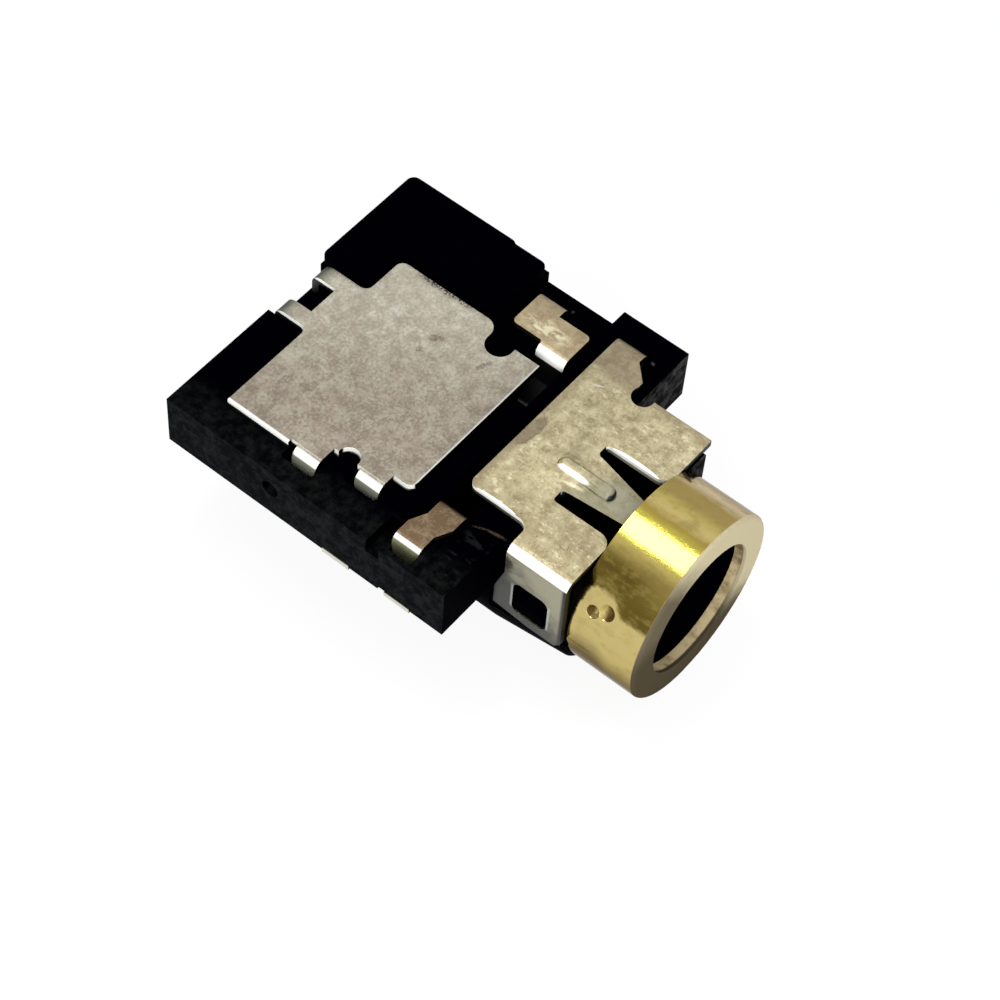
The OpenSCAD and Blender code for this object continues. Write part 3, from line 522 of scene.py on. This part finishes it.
def cover_finish(p):
    """Dull plated steel, mottled and lightly scuffed."""
    f = Finish("plated cover")
    cloud = f.noise(size=0.4, detail=3.0, rough=0.6)
    grain = f.noise(size=0.1, detail=5.0, rough=0.75, seed=5.0)
    fine = f.noise(size=0.07, detail=4.0, rough=0.7, seed=25.0)
    tint = f.noise(size=0.35, detail=4.0, rough=0.65, seed=15.0)
    along = f.x + 0.5 * f.y

    # Mottled plating that is lighter towards the rear right, with a pink tint and pale flecks
    tone = f.rise(0.4 * cloud + 0.6 * grain, 0.38, 0.63)
    lighter = 0.7 * tone + 0.6 * f.rise(along, 2.5, 8.0) - 0.06
    paint = f.blend(lighter, p.cover_dark, p.cover_light)
    paint = f.blend(0.45 * f.rise(tint, 0.5, 0.68), paint, p.blush)
    flecks = f.rise(0.3 * fine + 0.3 * grain + 0.4 * cloud, 0.53, 0.6) * f.rise(along, 4.4, 7.0)
    paint = f.blend(0.35 * flecks, paint, p.rim)

    # Scuffs, and a torn right edge
    scuff = (f.patch(middle=(0.95, 9.95), size=(0.3, 0.17), turn=-60.0, soft=1.0)
             | f.patch(middle=(0.36, 10.06), size=(0.17, 0.13), turn=40.0, soft=1.0)
             | f.patch(middle=(1.06, 8.4), size=(0.36, 0.11), turn=-22.0, soft=1.0))
    paint = f.blend(0.9 * scuff * f.rise(fine, 0.36, 0.58), paint, p.scuff)
    torn = f.rise(f.x + 0.5 * (grain - 0.5), 2.22, 2.38)
    torn = torn * f.rise(f.y, 9.6, 10.2) * f.rise(f.y, 12.0, 11.4) * f.rise(fine, 0.4, 0.55)
    paint = f.blend(torn, paint, p.flap_dark)

    # Greyer rear legs, darker at the very rear, a painted highlight line along the front edge, and
    # a painted white highlight along the left edge
    paint = f.blend(0.9 * f.rise(f.y, 13.3, 13.8), paint, p.tab)
    paint = f.blend(0.6 * f.rise(f.y + 0.4 * (cloud - 0.5), 13.65, 13.9), paint, p.flap_dark)
    paint = f.blend(0.7 * f.rise(f.y, 7.31, 7.28), paint, p.rim)
    edge_highlight = f.rise(-f.x, 4.2, 4.26) * f.rise(f.y, 10.4, 10.6)
    paint = f.blend(edge_highlight, paint, p.highlight_white)

    # Tabs with a painted white highlight on their bends and painted light at their lower ends, and
    # a thinner painted highlight line on the plain edge behind them, with painted shade below it
    behind = f.rise(f.y, 10.35, 10.45)
    below = f.blend(f.rise(f.z, 1.78, 2.04), p.tab_low, p.tab)
    below = f.blend(behind, below, p.shade)
    painted_highlight = f.rise(f.z, 2.09, 2.14) * (1.0 - behind | f.rise(f.z, 2.14, 2.19))
    sheet(f, p, paint, below, painted_highlight)
    f.bump(0.6 * grain + 0.4 * cloud, depth=0.006)
    return f


def bracket_finish(p):
    """Yellowish plated sheet with light flecks, brown stains and painted shade, a greyer tongue of
    painted reflection, and a flap with painted light and shade.
    """
    f = Finish("plated bracket")
    cloud = f.noise(size=0.34, detail=4.0, rough=0.68, seed=2.0)
    grain = f.noise(size=0.09, detail=5.0, rough=0.75, seed=9.0)
    fleck = f.noise(size=0.15, detail=5.0, rough=0.72, stretch=(1.0, 2.0, 1.0), seed=31.0)

    # Mottled plating, a little darker on the left, with light flecks and a fine scratch
    tone = f.rise(0.55 * cloud + 0.45 * grain, 0.34, 0.68)
    lighter = tone * (1.0 - 0.25 * f.rise(-f.x, 0.6, 2.2))
    paint = f.blend(lighter, p.bracket_dark, p.bracket_light)
    paint = f.blend(0.6 * f.rise(fleck, 0.53, 0.68), paint, p.fleck)
    scratch = (f.patch(middle=(-2.2, 3.17), size=(0.2, 0.022), turn=80.0)
               | f.patch(middle=(-2.12, 3.0), size=(0.12, 0.02), turn=18.0))
    paint = f.blend(0.6 * scratch, paint, p.scuff)

    # A stain along the rear edge and on a shallow dent there, stain with painted shade towards the
    # right edge and the arm, and a light mark on the arm
    rear = f.rise(f.y + 0.3 * (cloud - 0.5), 5.85, 6.25)
    dent = f.patch(middle=(0.22, 6.06), size=(0.75, 0.26), turn=-4.0, soft=1.0)
    dent = f.rise(dent + 2.4 * (grain - 0.5), 0.2, 0.7)
    right = (f.rise(f.x + 0.4 * (cloud - 0.5), 2.6, 3.3)
             | f.rise(f.x, 3.0, 3.1) * f.rise(f.y, 5.0, 4.6))
    paint = f.blend(0.5 * rear | 0.8 * dent | 0.65 * right, paint, p.stain_and_shade)
    mark = f.patch(middle=(2.58, 5.63), size=(0.2, 0.025), turn=-65.0)
    paint = f.blend(0.8 * mark, paint, p.rim)

    # Painted white highlights on the top beside lit edges: right of the right slot, and on the left
    # of the sheet
    edge_highlight = (f.patch(middle=(1.17, 3.3), size=(0.12, 0.84), soft=0.3)
              | f.patch(middle=(-2.19, 5.33), size=(0.08, 0.7), soft=0.3))
    paint = f.blend(edge_highlight, paint, p.highlight_white)

    # Greyer tongue, a painted reflection of its downward slope, with a light streak
    on_tongue = f.rise(abs(f.x), 0.85, 0.78) * f.rise(f.y, 4.7, 4.1)
    greyed = on_tongue * f.rise(f.y + 0.6 * f.x, 4.2, 3.3)
    paint = f.blend(0.9 * greyed, paint, f.blend(0.45 * tone, p.tongue, p.cover_light))
    streak = f.patch(middle=(-0.47, 4.15), size=(0.42, 0.08), turn=-80.0, soft=1.0)
    paint = f.blend(0.7 * streak, paint, p.fleck)

    # Bead with a painted white highlight on its left flank, and a painted shadow line round its
    # foot
    bead = f.rise(abs(f.x), 0.36, 0.33) * f.rise(f.y, 5.1, 5.0)
    flank = f.patch(middle=(-0.2, 4.36), size=(0.085, 0.6), soft=0.4)
    flank = bead * f.rise(-f.nx, 0.3, 0.5) * flank
    end = (f.rise(f.y, 3.22, 3.17) * f.rise(f.x, 0.2, 0.1)
           | f.rise(-f.x, 0.25, 0.3) * f.rise(f.y, 3.9, 3.6))
    root = f.rise(f.y, 4.7, 4.8)
    foot = end * f.rise(f.z, 2.37, 2.33) | 0.6 * root * f.rise(f.z, 2.34, 2.31)
    foot = bead * foot * f.rise(f.nz, 0.95, 0.85)
    paint = f.blend(flank, f.blend(foot, paint, p.shade), p.highlight_white)

    # Flap: painted light at the upper front fading to painted shade at the lower rear, with a dark
    # patch, a light patch, painted highlight lines on the lips round its window, and painted shade
    # at its front edge
    ragged = 0.7 * (cloud - 0.5) + 0.4 * (grain - 0.5)
    lighter = f.rise(0.435 * f.z - 0.4 * f.y + ragged, -1.38, -0.48)
    below = f.blend(lighter, p.flap_dark, p.flap)
    stain_and_shade = f.oval(f.y - 4.25, f.z - 1.6, (0.38, 0.36)) + 2.0 * (grain - 0.5)
    below = f.blend(0.85 * f.rise(stain_and_shade, 1.0, 0.2), below, p.shade)
    light = f.oval(f.y - 3.8, f.z - 1.2, (0.35, 0.2))
    below = f.blend(0.6 * f.rise(light, 1.0, 0.1), below, p.flap)
    lips = f.rise(abs(abs(f.y - 3.32) - 0.6), 0.06, 0.02) * f.rise(abs(f.z - 0.36), 0.6, 0.4)
    below = f.blend(0.3 * lips, below, p.rim)
    below = f.blend(f.rise(f.y, 2.4, 2.3), below, p.shade)

    # Painted white highlight on the bend above the flap, thinner painted highlight lines on the
    # other edges, and painted shade on the edges by the tongue
    bend = f.rise(f.x, -2.6, -2.7) | f.rise(f.z, 2.14, 2.2)
    painted_highlight = bend * f.rise(f.z, 2.03, 2.07) * f.rise(f.x, 2.4, 2.0)
    sheet(f, p, paint, below, painted_highlight, dark=on_tongue * (1.0 - bead), light=bead,
          matte=bead * f.rise(f.y, 3.6, 3.4))
    f.bump(0.6 * grain + 0.4 * cloud - 3.0 * dent, depth=0.006)
    return f


def strip_finish(p, name, seed, shift, corner):
    """Brownish spring strip with light tails and a streaky ring tab. Faces on the left get a
    painted white highlight where they are below the corner's x and y, and above its z."""
    f = Finish(name)
    cloud = f.noise(size=0.3, detail=3.0, rough=0.6, seed=seed)
    grain = f.noise(size=0.08, detail=4.0, rough=0.7, seed=seed + 4.0)
    streaks = f.noise(size=0.14, detail=4.0, rough=0.7, stretch=(1.0, 2.5, 1.0), seed=seed + 8.0)

    # Mottled strip, streaks on the ring contact's tab, and shade down in the housing
    lighter = 0.5 * f.rise(0.6 * cloud + 0.4 * grain, 0.35, 0.65) + shift + 0.1
    paint = f.blend(lighter, p.strip_dark, p.strip_light)
    tab = f.patch(middle=(3.2, 7.9), size=(0.4, 1.0), soft=1.0)
    paint = f.blend(0.7 * tab * f.rise(streaks, 0.44, 0.6), paint, p.fleck)
    shaft = f.rise(abs(f.x), 3.4, 3.2) * f.rise(f.z, 2.0, 1.8)
    paint = f.blend(shaft, paint, p.shade)

    # Olive risers, painted shade on the inner faces, light tails, and painted white highlights on
    # the bends
    below = f.blend(f.rise(abs(f.x), 4.2, 4.35), p.shade, p.riser)
    below = f.blend(f.rise(f.z, 0.5, 0.4), below, p.tail)
    x, y, z = corner
    painted_highlight = f.rise(f.x, x + 0.04, x) * f.rise(f.y, y + 0.04, y)
    painted_highlight = painted_highlight * f.rise(f.z, z - 0.02, z + 0.02)
    sheet(f, p, paint, below, painted_highlight)
    f.bump(0.6 * grain + 0.4 * cloud, depth=0.006)
    return f


# Operators


class SOCKET_OT_housing(bpy.types.Operator):
    """Finish the moulded housing"""

    bl_idname = "socket.housing"
    bl_label = "Housing"

    def execute(self, context):
        p = context.scene.socket_plastic
        dress("housing", plastic_finish(p), p.edge)
        return {"FINISHED"}


class SOCKET_OT_barrel(bpy.types.Operator):
    """Finish the brass entry ring"""

    bl_idname = "socket.barrel"
    bl_label = "Entry ring"

    def execute(self, context):
        p = context.scene.socket_brass
        dress("barrel", brass_finish(p), p.edge)
        return {"FINISHED"}


class SOCKET_OT_plates(bpy.types.Operator):
    """Finish the cover and the bracket"""

    bl_idname = "socket.plates"
    bl_label = "Cover and bracket"

    def execute(self, context):
        p = context.scene.socket_plate
        dress("top_cover", cover_finish(p), p.edge)
        dress("front_bracket", bracket_finish(p), p.edge)
        return {"FINISHED"}


class SOCKET_OT_contacts(bpy.types.Operator):
    """Finish the four spring contacts"""

    bl_idname = "socket.contacts"
    bl_label = "Contacts"

    def execute(self, context):
        p = context.scene.socket_plate
        for index, (node, (shift, corner)) in enumerate(STRIPS.items()):
            finish = strip_finish(p, node + " strip", seed=3.0 * index, shift=shift, corner=corner)
            dress(node, finish, p.strip_edge)
        return {"FINISHED"}


class SOCKET_OT_stage(bpy.types.Operator):
    """Build the floor, the lights and the camera"""

    bl_idname = "socket.stage"
    bl_label = "Stage"

    def execute(self, context):
        p = context.scene.socket_stage
        build_floor(context.scene, p)
        build_lights(context.scene, p)
        build_camera(context.scene, p)
        context.scene.view_settings.view_transform = "Standard"
        return {"FINISHED"}


def seen_rays(graph):
    """1 for rays that show the surroundings: to the camera, in a reflection or through glass."""
    seen = graph.node("ShaderNodeLightPath", out="Is Camera Ray")
    return seen | seen.beside("Is Glossy Ray") | seen.beside("Is Transmission Ray")


def build_floor(scene, p):
    """White floor under the object, which keeps a soft shadow."""
    low = CAD_BOX[0][2]
    turns = ((-1, -1), (1, -1), (1, 1), (-1, 1))
    corners = [(x * FLOOR_HALF, y * FLOOR_HALF, low) for x, y in turns]
    mesh = bpy.data.meshes.new("studio floor")
    mesh.from_pydata(corners, [], [(0, 1, 2, 3)])
    floor = bpy.data.objects.new("studio floor", mesh)
    scene.collection.objects.link(floor)
    material = bpy.data.materials.new("white floor")
    material.use_nodes = True
    material.node_tree.nodes.clear()
    g = Graph(material.node_tree)
    matte = g.node("ShaderNodeBsdfDiffuse", None, {"Color": p.floor})
    glow = g.node("ShaderNodeEmission")
    lit = g.node("ShaderNodeMixShader", None,
                 {0: seen_rays(g) * (1.0 - p.shadow), 1: matte, 2: glow})
    g.node("ShaderNodeOutputMaterial", None, {"Surface": lit})
    mesh.materials.append(material)


def build_lights(scene, p):
    """A soft light above, a weaker one on the left, and white surroundings."""
    world = bpy.data.worlds.new("white studio")
    scene.world = world
    world.use_nodes = True
    world.node_tree.nodes.clear()
    g = Graph(world.node_tree)
    glow = g.node("ShaderNodeBackground", None, {
        "Color": (1.0, 1.0, 1.0), "Strength": seen_rays(g) * (1.0 - p.world) + p.world})
    g.node("ShaderNodeOutputWorld", None, {"Surface": glow})
    soft_box(scene, "soft box above", KEY_FROM, KEY_SIZE, p.key)
    soft_box(scene, "soft box on the left", SIDE_FROM, SIDE_SIZE, p.side)


def soft_box(scene, name, direction, size, brightness):
    """A rectangular lamp that faces the mouth from a direction, with the radiance of brightness."""
    aim = Vector(direction).normalized()
    lamp = bpy.data.lights.new(name, "AREA")
    lamp.shape = "RECTANGLE"
    lamp.size, lamp.size_y = size
    lamp.energy = brightness * math.pi * lamp.size * lamp.size_y
    holder = bpy.data.objects.new(name, lamp)
    turn = aim.to_track_quat("Z", "Y").to_matrix().to_4x4()
    holder.matrix_world = Matrix.Translation(aim * LAMP_DISTANCE) @ turn
    scene.collection.objects.link(holder)


def build_camera(scene, p):
    """Camera at the photograph's place, looking along its own -Z."""
    level = math.cos(p.above)
    back = Vector((math.sin(p.around) * level, -math.cos(p.around) * level, math.sin(p.above)))
    right = Vector((math.cos(p.around), math.sin(p.around), 0.0))
    up = back.cross(right)
    tilted_right = math.cos(p.roll) * right + math.sin(p.roll) * up
    tilted_up = math.cos(p.roll) * up - math.sin(p.roll) * right
    camera = bpy.data.cameras.new("camera")
    camera.sensor_width = SENSOR_WIDTH
    camera.lens = p.lens
    camera.clip_start = MM
    holder = bpy.data.objects.new("camera", camera)
    turn = Matrix((tilted_right, tilted_up, back)).transposed().to_4x4()
    holder.matrix_world = Matrix.Translation(p.spot) @ turn
    scene.collection.objects.link(holder)
    scene.camera = holder


class SOCKET_PT_looks(bpy.types.Panel):
    """Buttons and settings of the jack socket"""

    bl_idname = "SOCKET_PT_looks"
    bl_label = "Jack Socket"
    bl_space_type = "VIEW_3D"
    bl_region_type = "UI"
    bl_category = "Jack Socket"

    def draw(self, context):
        for operator in OPERATORS:
            self.layout.operator(operator.bl_idname)
        for name in GROUPS:
            group = getattr(context.scene, name)
            box = self.layout.box()
            for prop in group.bl_rna.properties:
                if not prop.is_readonly and prop.identifier != "name":
                    box.prop(group, prop.identifier)


GROUPS = {
    "socket_plastic": PlasticProps,
    "socket_brass": BrassProps,
    "socket_plate": PlateProps,
    "socket_stage": StageProps,
}
OPERATORS = (
    SOCKET_OT_housing,
    SOCKET_OT_barrel,
    SOCKET_OT_plates,
    SOCKET_OT_contacts,
    SOCKET_OT_stage,
)


def register():
    for kind in (*GROUPS.values(), *OPERATORS, SOCKET_PT_looks):
        bpy.utils.register_class(kind)
    for name, kind in GROUPS.items():
        setattr(bpy.types.Scene, name, bpy.props.PointerProperty(type=kind))


def unregister():
    for name in GROUPS:
        delattr(bpy.types.Scene, name)
    for kind in (SOCKET_PT_looks, *reversed(OPERATORS), *reversed(GROUPS.values())):
        bpy.utils.unregister_class(kind)


def main():
    register()
    for operator in OPERATORS:
        group, name = operator.bl_idname.split(".")
        getattr(getattr(bpy.ops, group), name)()


if __name__ == "__main__":
    main()
